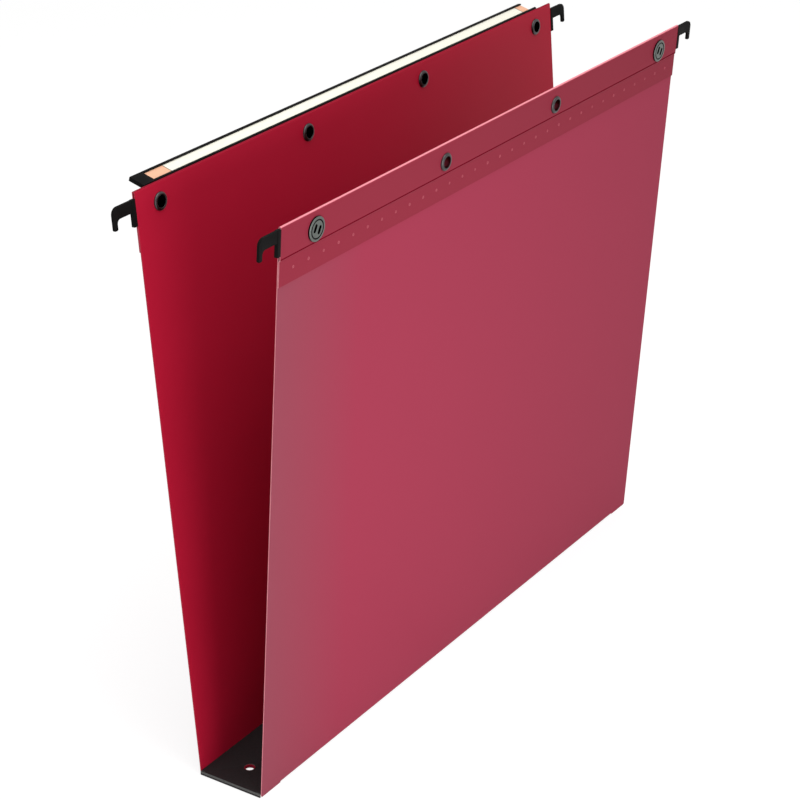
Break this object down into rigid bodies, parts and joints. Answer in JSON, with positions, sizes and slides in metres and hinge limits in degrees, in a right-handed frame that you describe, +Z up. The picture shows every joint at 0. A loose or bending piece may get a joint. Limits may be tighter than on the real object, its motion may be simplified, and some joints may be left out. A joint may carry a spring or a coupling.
{
  "type": "hanging file folder",
  "caption": "Open-sided hanging file folder with a flat base: two plastic walls, hooks at the ends of each hem for drawer rails, press studs and a sloping label rail.",
  "frame": {"origin": "middle of the underside of the base", "axes": "+X along the folder's width to the open end of the label rail, +Y to the rear wall with the label rail, +Z up"},
  "size_m": [0.345, 0.0796, 0.2627],
  "materials": {
    "red_sheet": "smooth satin polypropylene sheet",
    "black_board": "fine-grained board",
    "steel_bar": "rolled strip",
    "black_plastic": "moulded",
    "dark_metal": "black-finished brass, semi-gloss",
    "stud_metal": "gunmetal plating",
    "cream_card": "uncoated card"
  },
  "bodies": {
    "base": {"base_board": "black_board", "base_strip": "red_sheet"},
    "front_wall": {"front_panel": "red_sheet", "front_bar": "steel_bar", "front_left_hook": "black_plastic", "front_right_hook": "black_plastic", "front_left_eyelet": "dark_metal", "front_right_eyelet": "dark_metal", "front_left_stud": "stud_metal", "front_right_stud": "stud_metal", "front_left_stud_back": "stud_metal", "front_right_stud_back": "stud_metal"},
    "rear_wall": {"rear_panel": "red_sheet", "rear_bar": "steel_bar", "rear_left_hook": "black_plastic", "rear_right_hook": "black_plastic", "rear_left_rivet": "dark_metal", "rear_right_rivet": "dark_metal", "rear_left_end_rivet": "dark_metal", "rear_right_end_rivet": "dark_metal", "label_rail": "black_plastic"},
    "label": {"label_strip": "cream_card"}
  },
  "joints": [
    {"name": "front_crease", "type": "hinge", "parent": "base", "child": "front_wall", "pos_m": [0, -0.01505, 0.0012], "axis": [1, 0, 0], "range_deg": [-6.6, 81.4]},
    {"name": "rear_crease", "type": "hinge", "parent": "base", "child": "rear_wall", "pos_m": [0, 0.01505, 0.0012], "axis": [-1, 0, 0], "range_deg": [-7.6, 80.4]},
    {"name": "label_slide", "type": "slide", "parent": "rear_wall", "child": "label", "axis": [1, 0, 0], "range_m": [0, 0.28]}
  ]
}
